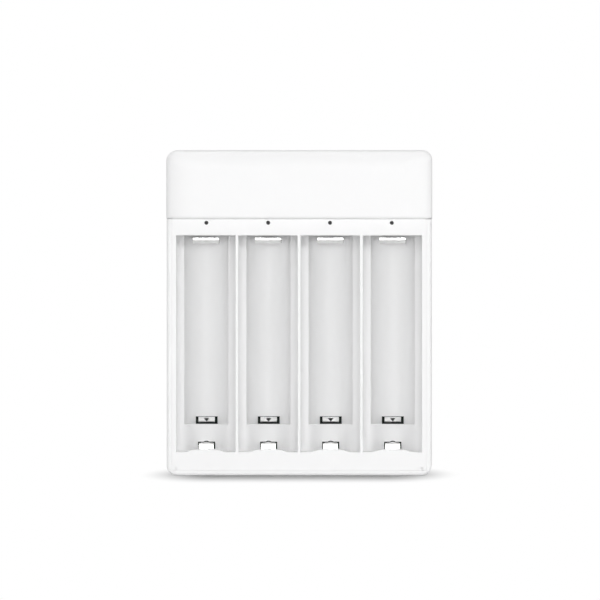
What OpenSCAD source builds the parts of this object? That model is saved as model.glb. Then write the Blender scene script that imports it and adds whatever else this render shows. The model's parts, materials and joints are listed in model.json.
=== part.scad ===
// Desk charger with four bays for round cells, standing on its lower end. Millimetres.
// X runs along the row of bays, Y from the front to the back, Z up.
// The origin is the middle of the footprint, on the surface that the charger stands on.
// Depths are measured from the tray's front face towards the back.

/* [Cells] */
// Diameter of the thick cell
thick_cell_d = 14.5; // [14:0.1:15]
// Diameter of the thin cell
thin_cell_d = 10.5; // [10:0.1:11]
// Play of the thick cell in its cradle, on the radius
thick_play = 0.15; // [0.1:0.05:0.4]
// Play of the thin cell in its trough, on the radius
thin_play = 0.25; // [0.1:0.05:0.4]
// Free distance between the two contacts of the thick cell
thick_gap = 49.9; // [48:0.1:50.4]
// Free distance between the two contacts of the thin cell
thin_gap = 43.7; // [42.4:0.1:44]

/* [Bay tray] */
// Wall between two bays at the front
divider_t = 0.8; // [0.6:0.1:1.6]
// Moulded wall around the bays
tray_wall = 1.1; // [0.9:0.1:1.5]
// Depth of the thick cell's axis
thick_axis_depth = 6; // [5:0.1:7]
// Further depth of the thin cell's axis
thin_drop = 5.4; // [5:0.1:6.5]
// Thickness of the tray's front plate and of the lip below the bays
plate_t = 1.4; // [1.2:0.1:1.8]
// Height of the lip's edge above the surface that the charger stands on
lip_h = 5.9; // [5:0.1:8]
// Rise of the lip's edge in front of each contact
wave_h = 0.6; // [0.3:0.1:1]
// Half the width of the raised stretch of the lip's edge
wave_half = 2.6; // [2:0.1:3]
// Run of the slope on each side of the raised stretch
wave_run = 2.8; // [1.5:0.1:3.2]
// Height of the trough's end wall below the thin cell's contact
thin_contact_rise = 1.8; // [1.7:0.05:2.4]
// Free space above the positive contact's lip
top_clear = 0.6; // [0.3:0.1:1]
// Height that the tray's front plate runs up behind the head
flange_h = 3.2; // [2:0.1:4]

/* [Shells] */
// Side and bottom wall of the rear housing
side_wall = 1.2; // [0.9:0.1:1.6]
// Back wall of the rear housing
back_wall = 1.8; // [1.5:0.1:2.4]
// Wall of the head cover, and of the rear housing behind it
head_wall = 1.5; // [1.2:0.1:2]
// Height of the head above the seam
head_h = 17; // [15:0.1:22]
// How far the head stands in front of the tray
head_step = 2.2; // [1.5:0.1:3]
// How far the head stands out at each side
head_side_step = 0.1; // [0.1:0.05:0.5]
// Depth of the seam between the head cover and the rear housing
parting_depth = 12; // [9:0.5:14]
// Gap between the tray and the shells around it
fit_gap = 0.1; // [0.05:0.05:0.2]
// Radius of the head's upper corners, seen from the front
top_corner_r = 3.2; // [2.6:0.1:5]
// Radius of the lower corners, seen from the front
low_corner_r = 2.5; // [2.2:0.1:4]
// Width of the soft rounding at the head's front side edges
head_side_round = 7; // [4:0.1:8]
// Height of the soft rounding at the head's front top edge
head_top_round = 4; // [3:0.1:6]
// Depth of the head's soft front rounding
head_round_depth = 2.8; // [2:0.1:4]
// Rounding of the head's lower front edge
head_low_round = 0.5; // [0.3:0.1:0.8]
// Radius of the back edges
back_round = 2; // [1:0.1:2.2]
// Radius of the rear housing's front edges
rim_round = 0.9; // [0.3:0.1:1]
// Thickness of the tongue that locates the head cover on the rear housing
tongue_t = 0.7; // [0.5:0.1:1]
// Height of that tongue
tongue_h = 1.2; // [0.8:0.1:2]

/* [Board] */
// Free space between the tray's floor and the board
board_gap = 1; // [0.8:0.1:2]
// Thickness of the board
board_t = 1.2; // [0.8:0.1:1.6]
// Free space behind the board for the solder joints
solder_gap = 1.4; // [1.2:0.1:2]
// Distance from the board's side edge to the outside of the body
board_side_margin = 3.2; // [2.7:0.1:4]
// Height of the board's lower edge above the surface that the charger stands on
board_low = 2.6; // [2:0.1:4]
// Distance from the board's upper edge to the top
board_top_margin = 2.2; // [2:0.1:3]
// Clearance around what passes through the board
board_clear = 0.2; // [0.15:0.05:0.3]

/* [Contacts] */
// Thickness of the nickel strip of all contacts
strip_t = 0.3; // [0.2:0.05:0.4]
// Width of the positive contact
plus_w = 6.5; // [5:0.1:7]
// Height of the positive contact's front lip
plus_lip_h = 0.8; // [0.6:0.1:1.4]
// How far the positive contact dips behind its lip
plus_dip = 0.65; // [0.4:0.05:0.9]
// Depth of the lip's outer face
plus_front_depth = 2.1; // [1.9:0.1:2.6]
// Width of the thick cell's contact
thick_contact_w = 3.7; // [3.4:0.1:4.6]
// Depth of the skirt at the front edge of the thick cell's contact
thick_front_depth = 8.2; // [7.6:0.1:8.8]
// Length of that skirt
skirt_h = 2; // [1.6:0.1:2.3]
// Height of the thick cell's contact above the lip's edge
thick_contact_rise = 2.05; // [2:0.05:3]
// Height of its dimple
dimple_h = 0.3; // [0.2:0.05:0.4]
// Width of the thin cell's contact
thin_contact_w = 4.1; // [3.6:0.1:4.4]
// Length of its lead-in from front to back
lead_in_run = 1.1; // [0.9:0.05:1.2]
// Fall of its lead-in
lead_in_fall = 1.1; // [1:0.05:1.5]
// Width of the tails that pass through the board
tail_w = 2.6; // [2:0.1:3]
// Side clearance of the thick cell's contact in its slot
thick_slot_clear = 0.5; // [0.4:0.05:0.8]
// Side clearance of the thin cell's contact, and of the tails, in their slots
thin_slot_clear = 0.7; // [0.4:0.05:0.8]

/* [Indicators] */
// Distance between two indicator holes
led_pitch = 15.5; // [15.2:0.1:15.8]
// Height of the indicator holes above the bays
led_rise = 3.2; // [2.8:0.1:4]
// Distance from the indicator holes up to the seam
led_to_seam = 1; // [0.8:0.1:1.6]
// Diameter of an indicator hole
led_hole_d = 1; // [0.8:0.05:1.2]
// Diameter of a light pipe's body
pipe_d = 1.9; // [1.6:0.1:2.2]
// Radial clearance of a light pipe in the tray
pipe_fit = 0.05; // [0.03:0.01:0.08]
// Depth of a light pipe's tip below the tray's front face
tip_depth = 0.4; // [0.2:0.05:0.6]
// Wall of the tube that holds a light pipe
pipe_tube_wall = 0.7; // [0.5:0.1:0.8]
// Length of that tube behind the front plate
pipe_tube_l = 7; // [4:0.5:10]

/* [Board parts] */
// Width of an indicator lamp
led_w = 1.6; // [1.2:0.1:2]
// Height of an indicator lamp above the board
led_t = 0.6; // [0.4:0.1:0.8]
// Width of a channel switch
switch_w = 2.9; // [2.4:0.1:3.1]
// Height of a channel switch above the board
switch_t = 1.1; // [0.8:0.1:1.4]
// Side of a power coil's square body
coil_w = 6; // [5:0.1:7]
// Height of a power coil above the board
coil_t = 3; // [2:0.1:4.5]
// Diameter of a capacitor's can
can_d = 6.3; // [5:0.1:6.6]
// Height of a capacitor above the board
can_l = 5.8; // [4.5:0.1:7]
// Side of the charge controller
chip_w = 4; // [3:0.1:5]
// Height of the charge controller above the board
chip_t = 0.9; // [0.7:0.1:1.2]

/* [Fasteners] */
// Shank diameter of the housing screws
screw_d = 2; // [1.8:0.1:2.4]
// Length of the shank
screw_l = 8; // [6:0.5:9]
// Head diameter of the housing screws
screw_head_d = 3.8; // [3.4:0.1:4.2]
// Head height of the housing screws
screw_head_h = 1.2; // [1:0.1:1.4]
// Radial fit of a screw in its pilot hole
pilot_fit = 0.05; // [0.03:0.01:0.08]
// Radius of the posts that the screws enter
post_r = 2.1; // [1.9:0.1:2.2]
// Height of the lower screws
low_screw_z = 9.5; // [8.5:0.1:10.5]
// Distance of the upper screws from the middle
high_screw_x = 24; // [22:0.1:25]
// Distance of the upper screws below the top
high_screw_drop = 9.6; // [8:0.1:10]

/* [Power inlet] */
// Width of the inlet's metal shell
inlet_w = 8.94; // [8.9:0.01:9]
// Thickness of the inlet's metal shell from front to back
inlet_h = 3.2; // [3.1:0.02:3.3]
// Length of the inlet's metal shell
inlet_l = 7.3; // [6.5:0.1:8]
// Sheet thickness of the inlet's metal shell
inlet_sheet = 0.3; // [0.2:0.05:0.35]
// How far the inlet's mouth lies below the top
inlet_recess = 0.4; // [0.2:0.1:1]
// Gap between the inlet and the opening in the housing
inlet_gap = 0.25; // [0.15:0.05:0.5]

/* [Hidden] */
$fn = 64;
bay_count = 4;
over = 1;          // how far a cutting solid reaches past what it cuts
bond = 0.1;        // how far two solids that are joined reach into each other
square_corner = 0.01; // radius that stands for a square corner

// Across the bays
cradle_r = thick_cell_d / 2 + thick_play;
trough_r = thin_cell_d / 2 + thin_play;
pitch = 2 * cradle_r + divider_t;
bays_half = (bay_count * pitch - divider_t) / 2;
tray_half = bays_half + tray_wall;
body_half = tray_half + fit_gap + side_wall;
head_half = body_half + head_side_step;
flange_half = head_half - head_wall - 2 * fit_gap;
board_half = body_half - board_side_margin;

// From front to back
thin_axis_depth = thick_axis_depth + thin_drop;
floor_depth = thin_axis_depth + trough_r + tray_wall;
board_front = floor_depth + board_gap;
board_back = board_front + board_t;
inner_back = board_back + solder_gap;
body_depth = inner_back + back_wall;
total_d = body_depth + head_step;
tray_y = head_step - total_d / 2;
head_y = -total_d / 2;
back_y = total_d / 2;
parting_y = tray_y + parting_depth;
thick_cell_depth = thick_axis_depth + cradle_r;

// Upwards
thick_strip_z = lip_h + thick_contact_rise;
plus_touch_z = thick_strip_z + dimple_h + thick_gap;
thin_touch_z = plus_touch_z - thin_gap;
trough_z = thin_touch_z - thin_contact_rise;
plus_lip_z = plus_touch_z + plus_dip + plus_lip_h;
bay_top_z = plus_lip_z + top_clear;
led_z = bay_top_z + led_rise;
seam_z = led_z + led_to_seam;
total_h = seam_z + head_h;
tray_low_z = side_wall + fit_gap;
board_top = total_h - board_top_margin;
high_screw_z = total_h - high_screw_drop;

// Contacts
thick_pivot_rise = 1.6;
thin_pivot_drop = 0.9;
thick_pivot_z = lip_h + thick_pivot_rise; // height at which the thick cell's contact enters the board
thin_pivot_z = thin_touch_z - thin_pivot_drop; // the same for the thin cell's contact
skirt_gap = 0.7;         // in front of the skirt, in its pocket
pocket_depth = thick_front_depth - skirt_gap; // front of the pocket that the skirt moves down into
plus_tail_z = plus_touch_z + plus_dip;
tail_past_board = 0.4;
tail_end = board_back + tail_past_board;
bend = 0.5;             // length of strip that each bend takes up on either side
plus_flat_extra = 1.5;  // how far the positive contact stays flat past both cell axes
plus_neck_depth = thin_axis_depth + 0.7 * trough_r; // where the positive contact narrows
thick_dimple_run = 1.5; // from the thick cell contact's skirt back to its dimple
thick_flat_run = 3;     // and to the end of its flat stretch
thin_tip_gap = 0.3;     // from the slot's front wall to the thin cell's contact
thin_crest_extra = 0.1; // its crest stands this much above the end of its lead-in
thin_level_run = 0.8;   // its level stretch in front of the tray's floor
dimple_r = 1.5;         // radius of the punch that makes the thick contact's dimple
small_dimple_r = 0.8;   // the same for the thin contact's dimple
small_dimple_h = 0.25;

// Openings for the contacts
skirt_pocket = 2.4;     // depth of the skirt's pocket from front to back
thick_slot_over = 0.4;  // height of the thick cell contact's slot above the strip
dimple_slot_r = 1.2;    // radius of the notch that leaves room for its dimple
shelf_skin = 0.9;       // wall left between the cradle and the thin contact's slot
thin_slot_low = 1.5;    // how far that slot runs down behind the wall
thin_slot_extra = 0.15; // how far it reaches above the contact
tail_slot_h = 0.9;      // height of the slots in the board

tongue_root = head_wall / 2; // how far the locating tongue's root reaches into the wall behind the seam

// Small notches at the lip's lower corners, where the tray is levered out
notch_w = 0.5;
notch_h = 0.9;
notch_depth = 0.6;

// Light path
pipe_tube_r = pipe_d / 2 + pipe_fit + pipe_tube_wall;
pipe_led_gap = 0.3;     // from the light pipe's end to the lamp

// Parts on the board
led_h = 0.8;
led_base_t = 0.3;
led_lens_w = 1;
switch_rise = 2.4;      // channel switches above the lamps
switch_side = 3.4;      // and beside them
switch_h = 1.3;
switch_leg_w = 0.4;
switch_leg_t = 0.25;
switch_leg_reach = 1.2;
switch_leg_x = 0.95;
coil_x = [8, 16];
coil_corner_r = 1;
coil_groove_t = 0.4;
capacitor_x = [-8.5, -16.5];
can_base_w = 6.6;
can_corner_r = 1.2;
can_base_t = 0.8;
can_groove = 0.2;       // depth of the groove rolled into the can
can_groove_h = 0.4;
can_groove_rise = 0.8;  // groove above the base
chip_drop = 3.3;        // charge controller below the upper screws
chip_corner_cut = 0.5;

// Screws, posts and the bosses that face them
low_screw_x = pitch;
shoulder_r = post_r + 0.7;
head_boss_r = 2.5;
head_shoulder_r = head_boss_r + 0.8;
ring_extra = 0.9;
counterbore_h = 1.5;
counterbore_clear = 0.3;
screw_hole_clear = 0.2;
screw_tip_l = 1;
recess_l = 2.2;         // cross recess in the screw's head
recess_w = 0.5;
recess_depth = 0.7;
pilot_extra = 0.5;
screw_seat = body_depth - counterbore_h;
screw_tip = screw_seat - screw_l;

// Power inlet
inlet_axis_depth = board_front - inlet_h / 2;
inlet_top_z = total_h - inlet_recess;
inlet_low_z = inlet_top_z - inlet_l;
tongue_w = 6.7;
tongue_plate_t = 0.7;
tongue_end_drop = 1;
inlet_base_l = 2;
inlet_base_fit = 0.05;

function bay_x(i) = (i - (bay_count + 1) / 2) * pitch;
function led_x(i) = (i - (bay_count + 1) / 2) * led_pitch;
function at(depth) = tray_y + depth;

// A strip of sheet metal seen from the side: a path with its corners bent round
function mix(a, b, t) = a + (b - a) * t;
function toward(a, b, reach) = a + (b - a) * min(reach, norm(b - a) / 2) / norm(b - a);
function bent(p, q, r, t) = mix(mix(p, q, t), mix(q, r, t), t);
function bent_path(pts, reach, steps = 5) = [
  pts[0],
  for (i = [1:len(pts) - 2], k = [0:steps])
    bent(toward(pts[i], pts[i - 1], reach), pts[i], toward(pts[i], pts[i + 1], reach), k / steps),
  pts[len(pts) - 1]
];
function side_of(pts, i) = let (
  a = pts[max(i - 1, 0)],
  b = pts[min(i + 1, len(pts) - 1)],
  d = (b - a) / norm(b - a)
) [-d[1], d[0]];
function strip_outline(pts, t) = concat(
  [for (i = [0:len(pts) - 1]) pts[i] + side_of(pts, i) * t / 2],
  [for (i = [len(pts) - 1:-1:0]) pts[i] - side_of(pts, i) * t / 2]
);

// Outlines drawn from the side, the front or above, and given their width there
module along_x(x0, x1) translate([x0, 0, 0]) rotate([90, 0, 90]) linear_extrude(x1 - x0) children();
module along_y(y0, y1) translate([0, y1, 0]) rotate([90, 0, 0]) linear_extrude(y1 - y0) children();
module along_z(z0, z1) translate([0, 0, z0]) linear_extrude(z1 - z0) children();
module cone(depth0, depth1, r0, r1) {
  translate([0, at(depth1), 0]) rotate([90, 0, 0]) cylinder(h = depth1 - depth0, r1 = r1, r2 = r0);
}
module rod(depth0, depth1, r) cone(depth0, depth1, r, r);
module block(x0, x1, depth0, depth1, z0, z1) {
  translate([x0, at(depth0), z0]) cube([x1 - x0, depth1 - depth0, z1 - z0]);
}
module bays() for (i = [1:bay_count]) translate([bay_x(i), 0, 0]) children();
module leds() for (i = [1:bay_count]) translate([led_x(i), 0, led_z]) children();
module mirrored() {
  children();
  mirror([1, 0, 0]) children();
}
module at_low_screws() mirrored() translate([low_screw_x, 0, low_screw_z]) children();
module at_high_screws() mirrored() translate([high_screw_x, 0, high_screw_z]) children();
module at_screws() {
  at_low_screws() children();
  at_high_screws() children();
}

// A rectangle with one radius at its lower corners and one at its upper corners
module round_rectangle(x0, x1, y0, y1, low_r, high_r) difference() {
  translate([x0, y0]) square([x1 - x0, y1 - y0]);
  corner_notch(x0, y0, 1, 1, low_r);
  corner_notch(x1, y0, -1, 1, low_r);
  corner_notch(x0, y1, 1, -1, high_r);
  corner_notch(x1, y1, -1, -1, high_r);
}
module corner_notch(x, y, sx, sy, r) translate([x, y]) difference() {
  translate([sx > 0 ? -over : -r, sy > 0 ? -over : -r]) square(r + over);
  translate([sx * r, sy * r]) circle(r);
}
module race_track(w, h) {
  square([w - h, h], center = true);
  for (s = [-1, 1]) translate([s * (w - h) / 2, 0]) circle(h / 2);
}

// The bay's cross-section from above: an upright cradle and the deeper trough in its floor
module cradle_section(grow, ahead) {
  translate([-cradle_r - grow, tray_y - ahead]) square([2 * (cradle_r + grow), thick_axis_depth + ahead]);
  translate([0, at(thick_axis_depth)]) half_disc(cradle_r + grow);
}
module trough_section(grow) {
  translate([-trough_r - grow, at(thick_axis_depth)]) square([2 * (trough_r + grow), thin_drop]);
  translate([0, at(thin_axis_depth)]) half_disc(trough_r + grow);
}
module half_disc(r) intersection() {
  circle(r);
  translate([-r - over, 0]) square([2 * (r + over), r + over]);
}

// The lip's edge rises on a smooth curve in front of each contact, and its crest runs back to the contact
function wave(x) = abs(x) < wave_half ? wave_h
  : wave_h / 2 * (1 + cos(180 * (abs(x) - wave_half) / wave_run));
module lip_wave() {
  steps = 10;
  reach = wave_half + wave_run;
  slope = [for (i = [0:steps]) wave_half + wave_run * i / steps];
  along_y(tray_y, at(pocket_depth)) translate([0, lip_h]) polygon([
    [-reach, -over],
    for (i = [steps:-1:0]) [-slope[i], wave(slope[i])],
    for (i = [0:steps]) [slope[i], wave(slope[i])],
    [reach, -over]
  ]);
}

module bay_tray() color("white") difference() {
  union() {
    difference() {
      union() {
        block(-tray_half, tray_half, 0, plate_t, tray_low_z, seam_z - fit_gap);
        block(-flange_half, flange_half, 0, plate_t, seam_z - over, seam_z + flange_h);
        bays() tray_bay();
        block(-bays_half, bays_half, over, board_front, bay_top_z, bay_top_z + tray_wall);
        at_low_screws() tray_post();
        mirrored() tray_cheek();
      }
      bays() bay_space();
    }
    bays() lip_wave();
    leds() rod(plate_t - bond, plate_t + pipe_tube_l, pipe_tube_r);
  }
  bays() contact_slots();
  leds() pipe_bore();
  at_low_screws() pilot_hole();
  mirrored() pry_notch();
}
module tray_bay() {
  along_z(lip_h - tray_wall, bay_top_z + tray_wall) cradle_section(tray_wall, 0);
  along_z(trough_z - tray_wall, bay_top_z + tray_wall) trough_section(tray_wall);
}
module bay_space() {
  along_z(lip_h, bay_top_z) cradle_section(0, over);
  along_z(trough_z, bay_top_z) trough_section(0);
}
// The tray's side walls run down past the lip to the housing's bottom wall
module tray_cheek() block(bays_half, tray_half, 0, thick_axis_depth, tray_low_z, lip_h);
module contact_slots() {
  thick_half = thick_contact_w / 2 + thick_slot_clear;
  thin_half = thin_contact_w / 2 + thin_slot_clear;
  tail_half = tail_w / 2 + thin_slot_clear;
  block(-thick_half, thick_half, pocket_depth, pocket_depth + skirt_pocket, lip_h - tray_wall - over,
    lip_h + over);
  block(-thick_half, thick_half, thick_cell_depth - over, floor_depth, lip_h,
    thick_strip_z + thick_slot_over);
  translate([0, 0, thick_strip_z + dimple_h + thick_slot_over - dimple_slot_r])
    rod(thick_cell_depth - over, floor_depth - tray_wall, dimple_slot_r);
  block(-thin_half, thin_half, thick_cell_depth - over, floor_depth + over, trough_z,
    thin_touch_z + thin_slot_extra);
  block(-thin_half, thin_half, thick_cell_depth + shelf_skin, floor_depth + over, trough_z - thin_slot_low,
    trough_z + over);
  block(-tail_half, tail_half, floor_depth - tray_wall - over, floor_depth + over,
    plus_tail_z - thin_slot_clear, plus_tail_z + thin_slot_clear);
}
module tray_post() {
  rod(thick_axis_depth, board_back - fit_gap / 2, post_r);
  rod(thin_axis_depth + trough_r - over, board_front, shoulder_r);
}
module pilot_hole() rod(screw_tip - pilot_extra, board_back + over, screw_d / 2 + pilot_fit);
module pipe_bore() {
  rod(-over, plate_t + over, led_hole_d / 2);
  rod(plate_t, plate_t + pipe_tube_l + over, pipe_d / 2 + pipe_fit);
}
module pry_notch() {
  block(bays_half - notch_w / 2, bays_half + notch_w / 2, -over, notch_depth, tray_low_z - over,
    tray_low_z + notch_h);
}

// The head's outside, inset all round by t: outlines that shrink along a quarter ellipse towards the front
module head_blank(t, low_z, y_end) {
  steps = 12;
  loft(concat(
    [for (i = [steps:-1:0]) let (inward = 1 - cos(90 * i / steps), ahead = sin(90 * i / steps)) head_outline(
      head_half - t - (head_side_round - t) * inward,
      low_z + head_low_round * inward,
      total_h - t - (head_top_round - t) * inward,
      head_y + t + (head_round_depth - t) * (1 - ahead),
      top_corner_r - t
    )],
    [head_outline(head_half - t, low_z, total_h - t, y_end, top_corner_r - t)]
  ));
}
function head_outline(half, z0, z1, y, r, turn = 10) = concat(
  [[-half, y, z0]],
  [for (a = [180:-turn:90]) [-half + r + r * cos(a), y, z1 - r + r * sin(a)]],
  [for (a = [90:-turn:0]) [half - r + r * cos(a), y, z1 - r + r * sin(a)]],
  [[half, y, z0]]
);
// A solid through outlines with equal numbers of points, given from front to back
module loft(rings) {
  n = len(rings[0]);
  last = len(rings) - 1;
  polyhedron(
    points = [for (ring = rings) each ring],
    faces = concat(
      [[for (k = [0:n - 1]) k]],
      [[for (k = [n - 1:-1:0]) last * n + k]],
      [for (i = [0:last - 1], k = [0:n - 1]) [i * n + k, (i + 1) * n + k, (i + 1) * n + (k + 1) % n]],
      [for (i = [0:last - 1], k = [0:n - 1]) [i * n + k, (i + 1) * n + (k + 1) % n, i * n + (k + 1) % n]]
    )
  );
}
module head_cover() color("white") difference() {
  union() {
    difference() {
      head_blank(0, seam_z, parting_y);
      difference() {
        head_blank(head_wall, seam_z - over, parting_y + over);
        block(-head_half, head_half, -head_step, -fit_gap / 2, seam_z - over, seam_z + head_wall);
      }
      block(-flange_half - fit_gap, flange_half + fit_gap, -fit_gap / 2, parting_depth + over,
        seam_z - over, seam_z + flange_h + fit_gap);
    }
    at_high_screws() head_boss();
  }
  at_high_screws() pilot_hole();
}
module head_boss() {
  rod(head_wall - head_step - bond, board_back - fit_gap / 2, head_boss_r);
  rod(head_wall - head_step - bond, board_front, head_shoulder_r);
}

// The rear housing: a tub around the tray, and the back half of the head above the seam
module rear_housing() color("white") difference() {
  union() {
    difference() {
      union() {
        lower_blank();
        upper_blank();
      }
      block(-tray_half - fit_gap, tray_half + fit_gap, -over, inner_back, side_wall, seam_z + over);
      upper_cavity();
    }
    locating_tongue();
    at_screws() rod(board_back, inner_back + bond, head_boss_r + ring_extra);
  }
  at_screws() screw_recess();
  inlet_opening();
}
module lower_blank() difference() {
  along_y(tray_y, back_y)
    round_rectangle(-body_half, body_half, 0, seam_z - fit_gap, low_corner_r, square_corner);
  translate([0, back_y, 0]) edge_cutter(body_half, seam_z, low_corner_r, back_round);
  translate([0, tray_y, 0]) mirror([0, 1, 0]) edge_cutter(body_half, seam_z, low_corner_r, rim_round);
}
module upper_blank() difference() {
  along_y(parting_y, back_y)
    round_rectangle(-head_half, head_half, seam_z - fit_gap, total_h, square_corner, top_corner_r);
  translate([0, back_y, total_h]) mirror([0, 0, 1])
    edge_cutter(head_half, head_h + over, top_corner_r, back_round);
}
// Cuts a quarter round along both sides, both corners and the lower edge of a plate that ends at y = 0
module edge_cutter(half, height, corner_r, r) mirrored() {
  translate([half - corner_r, 0, corner_r]) rotate([-90, 0, 0]) rotate_extrude(angle = 90)
    translate([corner_r, 0]) round_notch(r);
  translate([half, 0, corner_r]) linear_extrude(height - corner_r) round_notch(r);
  rotate([90, 0, 0]) rotate([0, 90, 0]) linear_extrude(half - corner_r) rotate(180) mirror([1, 0, 0])
    round_notch(r);
}
module round_notch(r) difference() {
  translate([-r, -r]) square(r + over);
  translate([-r, -r]) circle(r);
}
module upper_cavity() {
  half = head_half - head_wall;
  block(-half, half, parting_depth - over, inner_back, seam_z - fit_gap - over, total_h - head_wall);
}
// A lip that stands forward of the parting seam inside the head cover, on a thicker root behind the seam
module locating_tongue() {
  half = head_half - head_wall - fit_gap;
  top = total_h - head_wall - fit_gap;
  corner_r = top_corner_r - head_wall;
  low = seam_z + flange_h + over;
  difference() {
    union() {
      along_y(at(parting_depth - tongue_h), at(parting_depth + over))
        round_rectangle(-half, half, low, top, square_corner, corner_r);
      along_y(parting_y, at(parting_depth + tongue_h))
        round_rectangle(-half - tongue_root, half + tongue_root, low, top + tongue_root, square_corner,
          corner_r + tongue_root);
    }
    along_y(head_y, back_y)
      round_rectangle(-half + tongue_t, half - tongue_t, 0, top - tongue_t, square_corner, corner_r);
  }
}
module screw_recess() {
  rod(board_back - over, body_depth + over, screw_d / 2 + screw_hole_clear);
  rod(screw_seat, body_depth + over, screw_head_d / 2 + counterbore_clear);
}
module inlet_opening() {
  along_z(total_h - head_wall - over, total_h + over) translate([0, at(inlet_axis_depth)])
    race_track(inlet_w + 2 * inlet_gap, inlet_h + 2 * inlet_gap);
}

module main_board() color("darkgreen") difference() {
  block(-board_half, board_half, board_front, board_back, board_low, board_top);
  at_low_screws() rod(board_front - over, board_back + over, post_r + board_clear);
  at_high_screws() rod(board_front - over, board_back + over, head_boss_r + board_clear);
  bays() for (z = [plus_tail_z, thick_pivot_z, thin_pivot_z]) tail_slot(z);
}
module tail_slot(z) {
  half = tail_w / 2 + board_clear;
  block(-half, half, board_front - over, board_back + over, z - tail_slot_h / 2, z + tail_slot_h / 2);
}

// Positive contact: a plate under the bay's upper end, its front edge folded up
module positive_contact(i) color("silver") translate([bay_x(i), 0, 0]) intersection() {
  front = at(plus_front_depth + strip_t / 2);
  face = plus_touch_z + strip_t / 2;
  along_x(-plus_w / 2, plus_w / 2) polygon(strip_outline(bent_path([
    [front, plus_lip_z],
    [front, plus_tail_z + strip_t / 2],
    [at(thick_axis_depth - plus_flat_extra), face],
    [at(thin_axis_depth + plus_flat_extra), face],
    [at(plus_neck_depth), plus_tail_z],
    [at(tail_end), plus_tail_z]
  ], bend), strip_t));
  union() {
    block(-plus_w / 2, plus_w / 2, 0, plus_neck_depth, 0, total_h);
    block(-tail_w / 2, tail_w / 2, 0, body_depth, 0, total_h);
  }
}

// Contact of the thick cell: a leaf with a dimple, its front edge folded down as a skirt
module thick_contact(i) color("silver") translate([bay_x(i), 0, 0]) {
  z = thick_strip_z - strip_t / 2;
  front = at(thick_front_depth + strip_t / 2);
  ball_y = at(thick_front_depth + thick_dimple_run);
  ball_z = thick_strip_z + dimple_h - dimple_r;
  difference() {
    union() {
      intersection() {
        along_x(-thick_contact_w / 2, thick_contact_w / 2) polygon(strip_outline(bent_path([
          [front, thick_strip_z - skirt_h],
          [front, z],
          [at(thick_front_depth + thick_flat_run), z],
          [at(floor_depth), thick_pivot_z],
          [at(tail_end), thick_pivot_z]
        ], bend), strip_t));
        union() {
          block(-thick_contact_w / 2, thick_contact_w / 2, 0, floor_depth, 0, total_h);
          block(-tail_w / 2, tail_w / 2, 0, body_depth, 0, total_h);
        }
      }
      intersection() {
        translate([0, ball_y, ball_z]) sphere(dimple_r);
        block(-dimple_r, dimple_r, 0, body_depth, z, total_h);
      }
    }
    translate([0, ball_y, ball_z]) sphere(dimple_r - strip_t);
  }
}

// Contact of the thin cell: a short leaf whose sloping front leads the cell in, with a dimple on the slope
module thin_contact(i) color("silver") translate([bay_x(i), 0, 0]) {
  tip = [thick_cell_depth + shelf_skin + thin_tip_gap, thin_touch_z - lead_in_fall - strip_t / 2];
  crest = tip + [lead_in_run, lead_in_fall + thin_crest_extra];
  slope = crest - tip;
  outward = [-slope[1], slope[0]] / norm(slope);
  ball = (tip + crest) / 2 + outward * (strip_t / 2 + small_dimple_h - small_dimple_r);
  difference() {
    union() {
      intersection() {
        along_x(-thin_contact_w / 2, thin_contact_w / 2) polygon(strip_outline(bent_path([
          [at(tip[0]), tip[1]],
          [at(crest[0]), crest[1]],
          [at(floor_depth - thin_level_run), thin_pivot_z],
          [at(tail_end), thin_pivot_z]
        ], bend), strip_t));
        union() {
          block(-thin_contact_w / 2, thin_contact_w / 2, 0, floor_depth, 0, total_h);
          block(-tail_w / 2, tail_w / 2, 0, body_depth, 0, total_h);
        }
      }
      intersection() {
        translate([0, at(ball[0]), ball[1]]) sphere(small_dimple_r);
        along_x(-small_dimple_r, small_dimple_r) translate([tray_y, 0])
          polygon([tip, crest, crest + over * outward, tip + over * outward]);
      }
    }
    translate([0, at(ball[0]), ball[1]]) sphere(small_dimple_r - strip_t);
  }
}

// A clear rod that carries the light from the board to its hole in the tray
module light_pipe(i) color("lightcyan") translate([led_x(i), 0, led_z]) {
  rod(tip_depth, plate_t + pipe_fit, led_hole_d / 2 - pipe_fit);
  rod(plate_t + pipe_fit, board_front - led_t - pipe_led_gap, pipe_d / 2);
}

// Parts on the board
module indicator_led(i) color("ivory") translate([led_x(i), 0, led_z]) {
  block(-led_w / 2, led_w / 2, board_front - led_base_t, board_front, -led_h / 2, led_h / 2);
  block(-led_lens_w / 2, led_lens_w / 2, board_front - led_t, board_front - led_base_t + bond,
    -led_h / 2, led_h / 2);
}
module channel_switch(i) color("dimgray") translate([led_x(i) - switch_side, 0, led_z + switch_rise]) {
  block(-switch_w / 2, switch_w / 2, board_front - switch_t, board_front - bond, -switch_h / 2, switch_h / 2);
  for (x = [-switch_leg_x, switch_leg_x]) switch_leg(x, -switch_leg_reach, 0);
  switch_leg(0, 0, switch_leg_reach);
}
module switch_leg(x, z0, z1) {
  block(x - switch_leg_w / 2, x + switch_leg_w / 2, board_front - switch_leg_t, board_front, z0, z1);
}
module on_board(x, z) translate([x, at(board_front), z]) rotate([90, 0, 0]) children();
module power_coil(i) color("darkslategray") on_board(coil_x[i - 1], high_screw_z) difference() {
  linear_extrude(coil_t)
    round_rectangle(-coil_w / 2, coil_w / 2, -coil_w / 2, coil_w / 2, coil_corner_r, coil_corner_r);
  translate([0, 0, coil_t - coil_groove_t]) difference() {
    cylinder(h = over, r = coil_w / 2 - coil_groove_t);
    translate([0, 0, -over]) cylinder(h = 3 * over, r = coil_w / 2 - coil_corner_r);
  }
}
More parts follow.
